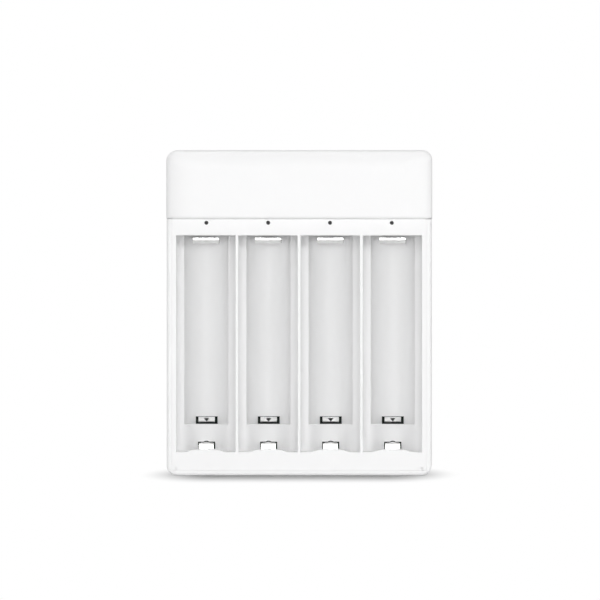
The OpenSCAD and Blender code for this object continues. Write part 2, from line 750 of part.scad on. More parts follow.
module can_capacitor(i) on_board(capacitor_x[i - 1], high_screw_z) {
  half = can_base_w / 2;
  color("black") linear_extrude(can_base_t)
    round_rectangle(-half, half, -half, half, 2 * can_groove, can_corner_r);
  color("silver") difference() {
    translate([0, 0, can_base_t - bond]) cylinder(h = can_l - can_base_t + bond, d = can_d);
    translate([0, 0, can_base_t + can_groove_rise]) difference() {
      cylinder(h = can_groove_h, d = can_d + over);
      cylinder(h = can_groove_h, d = can_d - 2 * can_groove);
    }
  }
}
module charge_controller() color("black") on_board(0, high_screw_z - chip_drop) linear_extrude(chip_t)
  difference() {
    square(chip_w, center = true);
    translate([-chip_w / 2, chip_w / 2]) rotate(45) square(chip_corner_cut, center = true);
  }

// Power inlet on the top: a drawn metal shell, closed below, with a tongue in it
module inlet_shell() color("silver") difference() {
  along_z(inlet_low_z, inlet_top_z) translate([0, at(inlet_axis_depth)]) race_track(inlet_w, inlet_h);
  along_z(inlet_low_z + inlet_sheet, total_h) translate([0, at(inlet_axis_depth)])
    race_track(inlet_w - 2 * inlet_sheet, inlet_h - 2 * inlet_sheet);
}
module inlet_tongue() color("black") {
  inner_w = inlet_w - 2 * inlet_sheet - 2 * inlet_base_fit;
  inner_h = inlet_h - 2 * inlet_sheet - 2 * inlet_base_fit;
  base_z = inlet_low_z + inlet_sheet;
  along_z(base_z, base_z + inlet_base_l) translate([0, at(inlet_axis_depth)]) race_track(inner_w, inner_h);
  along_z(base_z + inlet_base_l / 2, inlet_top_z - tongue_end_drop) translate([0, at(inlet_axis_depth)])
    square([tongue_w, tongue_plate_t], center = true);
}

module housing_screws() color("dimgray") at_screws() screw();
module screw() difference() {
  union() {
    rod(screw_tip + screw_tip_l, screw_seat + bond, screw_d / 2);
    cone(screw_tip, screw_tip + screw_tip_l, screw_d / 4, screw_d / 2);
    rod(screw_seat, screw_seat + screw_head_h, screw_head_d / 2);
  }
  for (a = [0, 90]) translate([0, at(screw_seat + screw_head_h), 0]) rotate([0, a, 0])
    cube([recess_l, 2 * recess_depth, recess_w], center = true);
}

bay_tray();
head_cover();
rear_housing();
main_board();
positive_contact(1);  // positive_contact_1
positive_contact(2);  // positive_contact_2
positive_contact(3);  // positive_contact_3
positive_contact(4);  // positive_contact_4
thick_contact(1);  // thick_contact_1
thick_contact(2);  // thick_contact_2
thick_contact(3);  // thick_contact_3
thick_contact(4);  // thick_contact_4
thin_contact(1);  // thin_contact_1
thin_contact(2);  // thin_contact_2
thin_contact(3);  // thin_contact_3
thin_contact(4);  // thin_contact_4
light_pipe(1);  // light_pipe_1
light_pipe(2);  // light_pipe_2
light_pipe(3);  // light_pipe_3
light_pipe(4);  // light_pipe_4
indicator_led(1);  // indicator_led_1
indicator_led(2);  // indicator_led_2
indicator_led(3);  // indicator_led_3
indicator_led(4);  // indicator_led_4
channel_switch(1);  // channel_switch_1
channel_switch(2);  // channel_switch_2
channel_switch(3);  // channel_switch_3
channel_switch(4);  // channel_switch_4
power_coil(1);  // power_coil_1
power_coil(2);  // power_coil_2
can_capacitor(1);  // input_capacitor
can_capacitor(2);  // output_capacitor
charge_controller();
inlet_shell();
inlet_tongue();
housing_screws();
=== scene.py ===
# Desk charger with four bays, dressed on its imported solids. Metres throughout.
# X runs along the row of bays, Y from the front to the back, Z up. Depths count from the tray's front face.
import json
import math
import bmesh
import bpy
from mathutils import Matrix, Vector


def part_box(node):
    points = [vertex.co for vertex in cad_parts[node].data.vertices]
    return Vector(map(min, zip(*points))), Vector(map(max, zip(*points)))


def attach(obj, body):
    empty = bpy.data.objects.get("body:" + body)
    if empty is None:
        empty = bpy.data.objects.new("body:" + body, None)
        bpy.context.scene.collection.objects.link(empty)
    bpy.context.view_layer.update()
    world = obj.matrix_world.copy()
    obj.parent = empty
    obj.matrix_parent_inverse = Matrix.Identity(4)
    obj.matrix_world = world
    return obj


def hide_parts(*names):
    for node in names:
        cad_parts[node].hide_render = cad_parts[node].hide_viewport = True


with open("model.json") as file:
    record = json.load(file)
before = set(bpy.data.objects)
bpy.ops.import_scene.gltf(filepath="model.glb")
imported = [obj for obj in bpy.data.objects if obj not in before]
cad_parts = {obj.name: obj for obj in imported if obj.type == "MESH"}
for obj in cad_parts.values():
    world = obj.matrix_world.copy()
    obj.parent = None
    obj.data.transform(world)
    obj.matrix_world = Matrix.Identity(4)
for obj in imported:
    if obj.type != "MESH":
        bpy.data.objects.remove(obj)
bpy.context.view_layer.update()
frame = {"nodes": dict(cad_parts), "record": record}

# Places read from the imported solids
MM = 0.001
tray_low, tray_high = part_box("bay_tray")
head_low, head_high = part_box("head_cover")
_, shell_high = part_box("rear_housing")
board_low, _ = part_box("main_board")
inlet_low, inlet_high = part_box("inlet_shell")
screws_low, screws_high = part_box("housing_screws")
BAYS = [1, 2, 3, 4]


def middle_of(node):
    low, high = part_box(node)
    return (low + high) / 2


bay_x = [middle_of(f"positive_contact_{bay}").x for bay in BAYS]
lamp_x = [middle_of(f"light_pipe_{bay}").x for bay in BAYS]
lamp_z = middle_of("light_pipe_1").z
thick_low, thick_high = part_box("thick_contact_1")
thin_low, thin_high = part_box("thin_contact_1")
plus_low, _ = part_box("positive_contact_1")
TRAY_FRONT = tray_low.y
HEAD_FRONT = head_low.y
HEAD_HALF = head_high.x
SEAM_Z = head_low.z
TOP_Z = head_high.z
BACK_Y = shell_high.y
BOARD_FRONT = board_low.y

# Sizes of the tray
WALL = 1.1 * MM
PLATE = 1.4 * MM
CRADLE_R = 7.4 * MM
CRADLE_AXIS = 6 * MM
TROUGH_R = 5.5 * MM
TROUGH_AXIS = 11.4 * MM
FLOOR_DEPTH = TROUGH_AXIS + TROUGH_R + WALL
LIP_Z = 5.9 * MM
TROUGH_Z = 12.65 * MM
BAY_TOP_Z = 60.2 * MM
POCKET_DEPTH = 7.5 * MM
POCKET_RUN = 2.4 * MM
WAVE_H = 0.6 * MM
WAVE_HALF = 2.6 * MM
WAVE_RUN = 2.8 * MM
TRAY_HALF = tray_high.x
BAYS_HALF = TRAY_HALF - WALL
TRAY_LOW = tray_low.z
FIT_GAP = 0.1 * MM
SEAM_GAP = 0.02 * MM
TRAY_BREAK = 0.03 * MM
TROUGH_EDGE_ROUND = 0.12 * MM
MOUTH_ROUND = 0.25 * MM
LAMP_HOLE_R = 0.5 * MM
PIPE_BORE_R = 1 * MM
PIPE_BORE_END = 10 * MM
PIPE_TUBE_R = 1.7 * MM
PIPE_TUBE_RUN = 7 * MM
PRY_HALF = 0.25 * MM
PRY_DEPTH = 0.6 * MM
PRY_RISE = 0.9 * MM

# Sizes of the shells
SIDE_WALL = 1.2 * MM
BODY_HALF = TRAY_HALF + FIT_GAP + SIDE_WALL
HEAD_WALL = 1.5 * MM
BACK_WALL = 1.8 * MM
PARTING_Y = TRAY_FRONT + 12 * MM
INNER_BACK = BACK_Y - BACK_WALL
LOW_CORNER = 2.5 * MM
TOP_CORNER = 2.5 * MM
BACK_ROUND = 2 * MM
RIM_ROUND = 0.9 * MM
HEAD_SIDE_ROUND = 7 * MM
HEAD_TOP_ROUND = 4 * MM
HEAD_ROUND_DEPTH = 2.8 * MM
HEAD_LOW_ROUND = 0.8 * MM
SEAM_BREAK = 0.15 * MM
RECESS_R = 2.2 * MM
RECESS_DEPTH = 1.5 * MM
RECESS_ROUND = 0.2 * MM
SCREW_HOLE_R = 1.2 * MM
INLET_GAP = 0.25 * MM

# Sizes of the contacts
STRIP = 0.3 * MM
BEND_REACH = 0.45 * MM
EDGE_BREAK = 0.04 * MM
TAIL_W = 2.6 * MM
PLUS_W = 6.5 * MM
PLUS_BEND_REACH = 0.2 * MM
PLUS_RISE = 0.8 * MM
PLUS_TAIL_RISE = 0.5 * MM
# The depths where its face begins and ends, its tail begins, and its tail narrows
PLUS_DEPTHS = (4.5 * MM, 12.9 * MM, 15.25 * MM, 16.2 * MM)
LEAF_BACK = 17.2 * MM
THICK_FRONT = 8.2 * MM
THICK_FLAT = 3 * MM
THICK_PIVOT_Z = 7.5 * MM
DIMPLE_H = 0.3 * MM
DIMPLE_R = 1.5 * MM
THIN_FRONT = CRADLE_AXIS + CRADLE_R + 1.2 * MM
THIN_TIP_DROP = 1.1 * MM
THIN_RUN = 1.1 * MM
THIN_RISE = 1.2 * MM
THIN_PIVOT_Z = 13.55 * MM
THIN_TOUCH_Z = THIN_PIVOT_Z + 0.9 * MM
WEDGE_W = 1.4 * MM
WEDGE_H = 0.85 * MM
WEDGE_REACH = 1.4 * MM
WEDGE_PLACE = Vector((0, -0.5 * MM, -0.3 * MM))  # from the leaf's crest to the middle of its upper edge

# Room for the contacts in the tray
THICK_CLEAR = 0.3 * MM
THICK_TOP_CLEAR = 0.25 * MM
DIMPLE_NOTCH_R = 1.2 * MM
DIMPLE_CLEAR = 0.2 * MM
THIN_CLEAR = 0.7 * MM
THIN_TOP_CLEAR = 0.1 * MM
THIN_FOOT_WALL = 0.9 * MM
THIN_FOOT_DROP = 1.5 * MM

# Sizes of the screws and of the inlet
SCREW_HEAD_R = 1.9 * MM
SCREW_SINK = 0.3 * MM
SCREW_HEAD_ROUND = 0.35 * MM
SHANK_R = 1 * MM
CROSS_DEPTH = 0.7 * MM
CROSS_REACH = 1.1 * MM
CROSS_HALF = 0.25 * MM
INLET_SHEET = 0.3 * MM
TONGUE_FOOT = 2 * MM
BLADE_HALF_W = 3.35 * MM
BLADE_HALF_T = 0.35 * MM

OVER = 1 * MM  # how far a cutting block reaches past what it cuts
FULL_ROUND = 0.9999  # the share of a half width that two neighbouring edges can be rounded by


def at(depth):
    """The Y of a depth below the tray's front face."""
    return TRAY_FRONT + depth


# Modelling steps that several pieces share

def only(piece):
    """Selects one piece alone and makes it the active one."""
    bpy.ops.object.select_all(action="DESELECT")
    piece.select_set(True)
    bpy.context.view_layer.objects.active = piece


def box(name, low, high):
    """A plain block between two corners, as the start of a piece."""
    low, high = Vector(low), Vector(high)
    bpy.ops.object.select_all(action="DESELECT")
    bpy.ops.mesh.primitive_cube_add(size=1, location=(low + high) / 2)
    block = bpy.context.object
    block.name = name
    block.scale = high - low
    bpy.ops.object.transform_apply(location=True, rotation=True, scale=True)
    return block


def round_bar(name, start, end, radius, sides=48):
    """A cylinder from one point to another."""
    start, end = Vector(start), Vector(end)
    bpy.ops.object.select_all(action="DESELECT")
    bpy.ops.mesh.primitive_cylinder_add(vertices=sides, radius=radius, depth=(end - start).length,
                                        location=(start + end) / 2)
    bar = bpy.context.object
    bar.name = name
    bar.rotation_mode = "QUATERNION"
    bar.rotation_quaternion = (end - start).to_track_quat("Z", "Y")
    bpy.ops.object.transform_apply(location=True, rotation=True, scale=True)
    return bar


def select_edges(piece, wanted):
    """In edit mode, selects the edges whose two ends both meet a test, and says how many there are."""
    bpy.ops.mesh.select_mode(type="EDGE")
    bpy.ops.mesh.select_all(action="DESELECT")
    mesh = bmesh.from_edit_mesh(piece.data)
    found = [edge for edge in mesh.edges if wanted(edge.verts[0].co, edge.verts[1].co)]
    for edge in found:
        edge.select_set(True)
    mesh.select_flush_mode()
    bmesh.update_edit_mesh(piece.data)
    return len(found)


def round_edges(piece, wanted, radius, segments):
    """Rounds the edges whose two ends both meet a test."""
    only(piece)
    bpy.ops.object.mode_set(mode="EDIT")
    if select_edges(piece, wanted):
        bpy.ops.mesh.bevel(offset=radius, segments=segments, profile=0.5, affect="EDGES",
                           clamp_overlap=False, loop_slide=True)
    else:
        print("no edge to round on", piece.name)
    bpy.ops.mesh.select_all(action="SELECT")
    bpy.ops.mesh.remove_doubles(threshold=0.002 * MM)
    bpy.ops.object.mode_set(mode="OBJECT")


def combine(piece, tools, operation):
    """Adds tools to a piece or cuts them out of it, all in one step."""
    bpy.ops.object.select_all(action="DESELECT")
    for tool in tools:
        tool.select_set(True)
    bpy.context.view_layer.objects.active = tools[0]
    if len(tools) > 1:
        bpy.ops.object.join()
    tool = bpy.context.object
    only(piece)
    step = piece.modifiers.new(operation.lower(), "BOOLEAN")
    step.operation = operation
    step.solver = "EXACT"
    step.use_self = True
    step.object = tool
    bpy.ops.object.modifier_apply(modifier=step.name)
    bpy.data.objects.remove(tool)


def add(piece, *tools):
    combine(piece, tools, "UNION")


def cut(piece, *tools):
    combine(piece, tools, "DIFFERENCE")


def near(a, b, slack=0.02 * MM):
    """True where two measures are the same, but for rounding."""
    return abs(a - b) < slack


def lies_on(a, b, **plane):
    """True for an edge with both its ends on a plane, such as y=BACK_Y."""
    return all(near(getattr(end, axis), place) for axis, place in plane.items() for end in (a, b))


def finish_piece(piece, body, slot, material, *nodes, smooth=35):
    """Shades a piece, sets its finish, ties it to the body and hides the nodes that it stands for."""
    only(piece)
    bpy.ops.object.shade_smooth_by_angle(angle=math.radians(smooth))
    normals = piece.modifiers.new("even shading", "WEIGHTED_NORMAL")
    normals.keep_sharp = True
    bpy.ops.object.modifier_apply(modifier=normals.name)
    piece.data.materials.clear()
    piece.data.materials.append(material)
    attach(piece, body)
    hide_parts(*nodes)


# Finishes. Patterns lie on Object coordinates, in metres.

class Finish:
    """A material under construction: its nodes and the links between them."""

    def __init__(self, name):
        self.material = bpy.data.materials.new(name)
        self.material.use_nodes = True
        self.tree = self.material.node_tree
        self.shader = self.tree.nodes["Principled BSDF"]
        self.place = self.node("ShaderNodeTexCoord").outputs["Object"]

    def node(self, kind, **settings):
        made = self.tree.nodes.new(kind)
        for key, value in settings.items():
            setattr(made, key, value)
        return made

    def set(self, **sockets):
        for key, value in sockets.items():
            self.shader.inputs[key.replace("_", " ")].default_value = value

    def link(self, source, target):
        self.tree.links.new(source, target)

    def noise(self, scale, detail=4, stretch=None):
        """A fine irregular pattern, drawn out along an axis where stretch says so."""
        texture = self.node("ShaderNodeTexNoise")
        texture.inputs["Scale"].default_value = scale
        texture.inputs["Detail"].default_value = detail
        place = self.place
        if stretch:
            mapping = self.node("ShaderNodeMapping")
            mapping.inputs["Scale"].default_value = stretch
            self.link(place, mapping.inputs["Vector"])
            place = mapping.outputs["Vector"]
        self.link(place, texture.inputs["Vector"])
        return texture.outputs["Fac"]

    def between(self, pattern, low, high, socket):
        """Runs a number socket between two values as a pattern rises."""
        spread = self.node("ShaderNodeMapRange")
        spread.inputs["From Min"].default_value = 0.3
        spread.inputs["From Max"].default_value = 0.7
        spread.inputs["To Min"].default_value = low
        spread.inputs["To Max"].default_value = high
        self.link(pattern, spread.inputs["Value"])
        self.link(spread.outputs["Result"], self.shader.inputs[socket])

    def tint(self, pattern, dark, light):
        """Runs the base colour between two tones as a pattern rises."""
        ramp = self.node("ShaderNodeValToRGB")
        ramp.color_ramp.elements[0].position = 0.35
        ramp.color_ramp.elements[1].position = 0.65
        ramp.color_ramp.elements[0].color = (*dark, 1)
        ramp.color_ramp.elements[1].color = (*light, 1)
        self.link(pattern, ramp.inputs["Fac"])
        self.link(ramp.outputs["Color"], self.shader.inputs["Base Color"])

    def relief(self, pattern, height):
        """Raises the surface by a height where the pattern is full."""
        bump = self.node("ShaderNodeBump")
        bump.inputs["Strength"].default_value = 1
        bump.inputs["Distance"].default_value = height
        before = self.shader.inputs["Normal"].links
        if before:
            self.link(before[0].from_socket, bump.inputs["Normal"])
        self.link(pattern, bump.inputs["Height"])
        self.link(bump.outputs["Normal"], self.shader.inputs["Normal"])


def moulded_white(name):
    """Satin white plastic with the fine even grain of a spark-eroded mould."""
    tone = (0.9, 0.9, 0.902)
    grain = 0.006 * MM
    finish = Finish(name)
    finish.set(IOR=1.49)
    finish.tint(finish.noise(35, 2), [c * 0.992 for c in tone], tone)
    finish.between(finish.noise(900, 3), 0.5, 0.58, "Roughness")
    finish.relief(finish.noise(7000, 2), grain)
    finish.relief(finish.noise(120, 2), 4 * grain)
    return finish.material


def nickel_strip():
    """Bright nickel over rolled strip, with faint lines along the rolling direction."""
    finish = Finish("nickel plated strip")
    finish.set(Metallic=1.0)
    finish.tint(finish.noise(600, 3), (0.83, 0.828, 0.82), (0.9, 0.898, 0.89))
    lines = finish.noise(2600, 3, stretch=(6, 0.5, 0.5))
    finish.between(lines, 0.34, 0.46, "Roughness")
    finish.relief(lines, 0.0015 * MM)
    return finish.material


def near_black_pipe_plastic():
    """Clear plastic tinted near black: the pipes and the unlit lamps behind them show as dark dots."""
    finish = Finish("near black pipe plastic")
    finish.set(IOR=1.49, Transmission_Weight=0.7, Specular_IOR_Level=0.1)
    finish.tint(finish.noise(800), (0.03, 0.03, 0.032), (0.05, 0.05, 0.052))
    finish.between(finish.noise(1500), 0.5, 0.6, "Roughness")
    return finish.material


def board_green():
    """Solder mask over copper tracks, which show as slightly raised paler lines. Its dark green is darkened
    nearly to black, painted shade, so that the slots show the body's inside as black.
    """
    finish = Finish("solder mask")
    finish.set(IOR=1.5, Specular_IOR_Level=0.2)
    tracks = finish.node("ShaderNodeTexBrick", offset=0.5)
    tracks.inputs["Scale"].default_value = 260
    tracks.inputs["Mortar Size"].default_value = 0.03
    # Near-black greens: a dark green mask, darkened further as painted shade for what shows through the
    # slots.
    tracks.inputs["Color1"].default_value = (0.003, 0.012, 0.006, 1)
    tracks.inputs["Color2"].default_value = (0.003, 0.01, 0.005, 1)
    tracks.inputs["Mortar"].default_value = (0.006, 0.022, 0.011, 1)
    turn = finish.node("ShaderNodeMapping")
    turn.inputs["Rotation"].default_value = (math.radians(90), 0, 0)
    finish.link(finish.place, turn.inputs["Vector"])
    finish.link(turn.outputs["Vector"], tracks.inputs["Vector"])
    finish.link(tracks.outputs["Color"], finish.shader.inputs["Base Color"])
    finish.between(finish.noise(900), 0.4, 0.5, "Roughness")
    finish.relief(tracks.outputs["Fac"], 0.03 * MM)
    return finish.material


def moulded_dark(name, tone, roughness):
    finish = Finish(name)
    finish.tint(finish.noise(1200), [c * 0.8 for c in tone], tone)
    finish.between(finish.noise(1600), roughness - 0.06, roughness + 0.06, "Roughness")
    finish.relief(finish.noise(6000), 0.004 * MM)
    return finish.material


def worked_metal(name, tone, roughness):
    finish = Finish(name)
    finish.set(Metallic=1.0)
    finish.tint(finish.noise(900), [c * 0.86 for c in tone], tone)
    finish.between(finish.noise(1800), roughness - 0.05, roughness + 0.07, "Roughness")
    finish.relief(finish.noise(3500), 0.002 * MM)
    return finish.material


shell_white = moulded_white("satin white shell")
tray_white = moulded_white("satin white tray")
nickel = nickel_strip()
screw_steel = worked_metal("blackened screw steel", (0.3, 0.3, 0.31), 0.35)
inlet_steel = worked_metal("inlet sheet steel", (0.66, 0.66, 0.68), 0.28)
inlet_black = moulded_dark("inlet tongue plastic", (0.02, 0.02, 0.022), 0.45)
FINISHES = {
    "shell_plastic": shell_white,
    "tray_plastic": tray_white,
    "contact_nickel": nickel,
    "board_green": board_green(),
    "clear_plastic": near_black_pipe_plastic(),
    "lamp_white": moulded_dark("lamp body", (0.85, 0.82, 0.7), 0.35),
    "chip_black": moulded_dark("chip package", (0.03, 0.03, 0.032), 0.5),
    "coil_ferrite": moulded_dark("pressed ferrite", (0.09, 0.09, 0.095), 0.6),
    "can_aluminium": worked_metal("drawn aluminium can", (0.82, 0.82, 0.83), 0.3),
    "inlet_steel": inlet_steel,
    "inlet_black": inlet_black,
    "screw_steel": screw_steel,
}


def finish_carried_nodes():
    """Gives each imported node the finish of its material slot."""
    for entry in frame["record"]["subparts"]:
        mesh = frame["nodes"][entry["node"]].data
        mesh.materials.clear()
        mesh.materials.append(FINISHES[entry["material_slot"]])


# The bay tray

def channel(name, x, radius, front, axis_depth, low_z, high_z):
    """An upright trough: a block whose two back edges are rounded until they meet in a half round."""
    back = at(axis_depth) + radius
    made = box(name, (x - radius, at(front), low_z), (x + radius, back, high_z))
    round_edges(made, lambda a, b: lies_on(a, b, y=back) and not near(a.z, b.z), radius * FULL_ROUND, 16)
    return made


def lip_wave(x):
    """What a bay's space leaves standing of its floor: a ridge whose top follows the wave of the lip."""
    reach = WAVE_HALF + WAVE_RUN
    wave = box("lip wave", (x - reach, at(-2 * OVER), LIP_Z - OVER), (x + reach, at(POCKET_DEPTH), LIP_Z))
    steps = 36
    only(wave)
    bpy.ops.object.mode_set(mode="EDIT")
    select_edges(wave, lambda a, b: near(a.y, b.y) and near(a.z, b.z))
    bpy.ops.mesh.subdivide(number_cuts=steps - 1)
    mesh = bmesh.from_edit_mesh(wave.data)
    for point in mesh.verts:
        if near(point.co.z, LIP_Z):
            away = (abs(point.co.x - x) - WAVE_HALF) / WAVE_RUN
            point.co.z += WAVE_H * (0.5 + 0.5 * math.cos(math.pi * min(1, max(0, away))))
    bmesh.update_edit_mesh(wave.data)
    bpy.ops.object.mode_set(mode="OBJECT")
    return wave


def tray_solids():
    """What the tray is made of before its bays are cut."""
    solids = []
    for x in bay_x:
        solids.append(channel("cradle back", x, CRADLE_R + WALL, PLATE / 2, CRADLE_AXIS, LIP_Z - WALL,
                              BAY_TOP_Z + WALL))
        solids.append(channel("trough back", x, TROUGH_R + WALL, CRADLE_AXIS, TROUGH_AXIS, TROUGH_Z - WALL,
                              BAY_TOP_Z + WALL))
    solids.append(box("top wall", (-BAYS_HALF, at(OVER), BAY_TOP_Z),
                      (BAYS_HALF, BOARD_FRONT, BAY_TOP_Z + WALL)))
    for side in (-1, 1):
        solids.append(box("cheek", (min(side * BAYS_HALF, side * TRAY_HALF), at(PLATE / 2), TRAY_LOW),
                          (max(side * BAYS_HALF, side * TRAY_HALF), at(CRADLE_AXIS), LIP_Z)))
    return solids


def bay_spaces():
    """What is cut out of those solids: a cradle and a deeper trough for each bay."""
    spaces = []
    for x in bay_x:
        cradle = channel("cradle space", x, CRADLE_R, -OVER, CRADLE_AXIS, LIP_Z, BAY_TOP_Z)
        cut(cradle, lip_wave(x))
        spaces.append(cradle)
        spaces.append(channel("trough space", x, TROUGH_R, CRADLE_AXIS, TROUGH_AXIS, TROUGH_Z, BAY_TOP_Z))
    return spaces


def contact_openings():
    """The slots that the contacts stand in, and the pocket that a skirt moves down into."""
    strip_top = thick_high.z - DIMPLE_H
    plus_tail = plus_low.z + STRIP / 2 + PLUS_TAIL_RISE
    thick_half = (thick_high.x - thick_low.x) / 2 + THICK_CLEAR
    thin_half = (thin_high.x - thin_low.x) / 2 + THIN_CLEAR
    tail_half = TAIL_W / 2 + THIN_CLEAR
    cradle_back = at(CRADLE_AXIS) + CRADLE_R
    floor_back = at(FLOOR_DEPTH)
    notch_z = thick_high.z + DIMPLE_CLEAR - DIMPLE_NOTCH_R
    openings = []
    for x in bay_x:
        openings.append(box("skirt pocket", (x - thick_half, at(POCKET_DEPTH), LIP_Z - WALL - OVER),
                            (x + thick_half, at(POCKET_DEPTH + POCKET_RUN), LIP_Z + OVER)))
        openings.append(box("thick slot", (x - thick_half, cradle_back - OVER, LIP_Z),
                            (x + thick_half, floor_back, strip_top + THICK_TOP_CLEAR)))
        openings.append(round_bar("dimple notch", (x, cradle_back - OVER, notch_z),
                                  (x, floor_back - WALL, notch_z), DIMPLE_NOTCH_R, 32))
        openings.append(box("thin slot", (x - thin_half, cradle_back - OVER, TROUGH_Z),
                            (x + thin_half, floor_back + OVER, thin_high.z + THIN_TOP_CLEAR)))
        openings.append(box("thin slot foot",
                            (x - thin_half, cradle_back + THIN_FOOT_WALL, TROUGH_Z - THIN_FOOT_DROP),
                            (x + thin_half, floor_back + OVER, TROUGH_Z + OVER)))
        openings.append(box("tail slot", (x - tail_half, floor_back - WALL - OVER, plus_tail - THIN_CLEAR),
                            (x + tail_half, floor_back + OVER, plus_tail + THIN_CLEAR)))
    return openings


def lamp_holes():
    """The small holes that show the light pipes' tips, and the wider bores behind them."""
    holes = []
    for x in lamp_x:
        holes.append(round_bar("lamp hole", (x, at(-OVER), lamp_z), (x, at(PLATE + OVER), lamp_z),
                               LAMP_HOLE_R, 32))
        holes.append(round_bar("pipe bore", (x, at(PLATE), lamp_z), (x, at(PIPE_BORE_END), lamp_z),
                               PIPE_BORE_R, 32))
    return holes


def pry_notches():
    """Two small notches at the tray's lower corners, where a tool can lift it out of the tub."""
    return [box("pry notch", (side * BAYS_HALF - PRY_HALF, at(-OVER), TRAY_LOW - OVER),
                (side * BAYS_HALF + PRY_HALF, at(PRY_DEPTH), TRAY_LOW + PRY_RISE)) for side in (-1, 1)]


def model_tray():
    tray = box("bay_insert", (-TRAY_HALF, at(0), TRAY_LOW), (TRAY_HALF, at(PLATE), SEAM_Z - FIT_GAP))
    round_edges(tray, lambda a, b: lies_on(a, b, y=at(0)) and min(a.z, b.z) < SEAM_Z - OVER, TRAY_BREAK, 2)
    flange_half = HEAD_HALF - HEAD_WALL - 2 * FIT_GAP
    add(tray, box("flange", (-flange_half, at(0), SEAM_Z - OVER), (flange_half, at(PLATE), tray_high.z)))
    add(tray, *tray_solids())
    cut(tray, *bay_spaces())
    tubes = [round_bar("pipe tube", (x, at(PLATE - 0.1 * MM), lamp_z), (x, at(PLATE + PIPE_TUBE_RUN), lamp_z),
                       PIPE_TUBE_R) for x in lamp_x]
    add(tray, *tubes)
    cut(tray, *contact_openings())
    cut(tray, *lamp_holes(), *pry_notches())
    round_tray_edges(tray)
    finish_piece(tray, "housing", "tray_plastic", tray_white, "bay_tray")


def round_tray_edges(tray):
    """Softens the edges that show: the bays' mouths, the lip, the troughs and the shelves."""
    def in_bays(point):
        return abs(point.x) < BAYS_HALF + 0.1 * MM and LIP_Z - 0.1 * MM < point.z < BAY_TOP_Z + 0.1 * MM

    def mouth(a, b):
        return lies_on(a, b, y=at(0)) and in_bays(a) and in_bays(b)

    def beside_trough(point):
        return any(near(abs(point.x - x), TROUGH_R, 0.05 * MM) for x in bay_x)

    def trough_edge(a, b):
        upright = near(a.x, b.x) and near(a.y, b.y) and abs(a.z - b.z) > 20 * MM
        return upright and beside_trough(a) and at(9 * MM) < a.y < at(12 * MM)

    def shelf_edge(a, b):
        level = lies_on(a, b, z=TROUGH_Z)
        on_cradle = all(near(min(math.hypot(p.x - x, p.y - at(CRADLE_AXIS)) for x in bay_x), CRADLE_R,
                             0.06 * MM) for p in (a, b))
        return level and on_cradle and min(a.y, b.y) > at(10 * MM)

    round_edges(tray, lambda a, b: trough_edge(a, b) or shelf_edge(a, b), TROUGH_EDGE_ROUND, 3)
    round_edges(tray, mouth, MOUTH_ROUND, 4)


# The head cover

def model_head():
    """Grows the head forward from an upright outline: each step is drawn in along a quarter ellipse."""
    head = box("head_hood", (-HEAD_HALF, PARTING_Y - OVER, SEAM_Z), (HEAD_HALF, PARTING_Y, TOP_Z))
    round_edges(head, lambda a, b: lies_on(a, b, z=TOP_Z) and not near(a.y, b.y), TOP_CORNER, 14)
    only(head)
    bpy.ops.object.mode_set(mode="EDIT")
    select_faces(head, lambda corner: near(corner.y, PARTING_Y - OVER))
    full_height = TOP_Z - SEAM_Z
    y, half, height = PARTING_Y - OVER, HEAD_HALF, full_height
    steps = 18
    full_y = HEAD_FRONT + HEAD_ROUND_DEPTH
    for step in range(steps + 1):
        angle = math.pi / 2 * step / steps
        next_y = full_y - HEAD_ROUND_DEPTH * math.sin(angle)
        next_half = HEAD_HALF - HEAD_SIDE_ROUND * (1 - math.cos(angle))
        next_height = full_height - HEAD_TOP_ROUND * (1 - math.cos(angle))
        bpy.ops.mesh.extrude_region_move(TRANSFORM_OT_translate={"value": (0, next_y - y, 0)})
        bpy.ops.transform.resize(value=(next_half / half, 1, next_height / height),
                                 center_override=(0, next_y, SEAM_Z))
        y, half, height = next_y, next_half, next_height
    select_faces(head, lambda corner: near(corner.z, SEAM_Z))
    bpy.ops.mesh.dissolve_limited(angle_limit=math.radians(1))
    bpy.ops.object.mode_set(mode="OBJECT")
    front_limit = full_y + 0.1 * MM
    round_edges(head, lambda a, b: lies_on(a, b, z=SEAM_Z) and max(a.y, b.y) < front_limit,
                HEAD_LOW_ROUND, 5)
    return head


def select_faces(piece, wanted):
    """In edit mode, selects the faces whose corners all meet a test."""
    bpy.ops.mesh.select_mode(type="FACE")
    bpy.ops.mesh.select_all(action="DESELECT")
    mesh = bmesh.from_edit_mesh(piece.data)
    for face in mesh.faces:
        if all(wanted(corner.co) for corner in face.verts):
            face.select_set(True)
    bmesh.update_edit_mesh(piece.data)


def hollow_head(head):
    """Opens the head's back and its underside behind the tray's plate, and leaves an even wall."""
    inner_half = HEAD_HALF - HEAD_WALL
    cavity = box("head cavity", (-inner_half, HEAD_FRONT + 2 * HEAD_WALL, SEAM_Z + HEAD_WALL),
                 (inner_half, PARTING_Y + OVER, TOP_Z - HEAD_WALL))
    flange = box("flange room", (-inner_half - FIT_GAP, TRAY_FRONT - FIT_GAP / 2, SEAM_Z - OVER),
                 (inner_half + FIT_GAP, PARTING_Y + OVER, tray_high.z + FIT_GAP))
    cut(head, cavity, flange)
    round_edges(head, lambda a, b: lies_on(a, b, y=PARTING_Y) and outside_head(a, b), SEAM_BREAK, 3)
    finish_piece(head, "housing", "shell_plastic", shell_white, "head_cover")


def outside_head(a, b):
    """True for an edge on the outer side of the head's back rim."""
    middle = (a + b) / 2
    outer = max(abs(middle.x) - HEAD_HALF, middle.z - TOP_Z) > -TOP_CORNER * 0.3
    return outer and middle.z > SEAM_Z + 0.1 * MM


# The rear housing

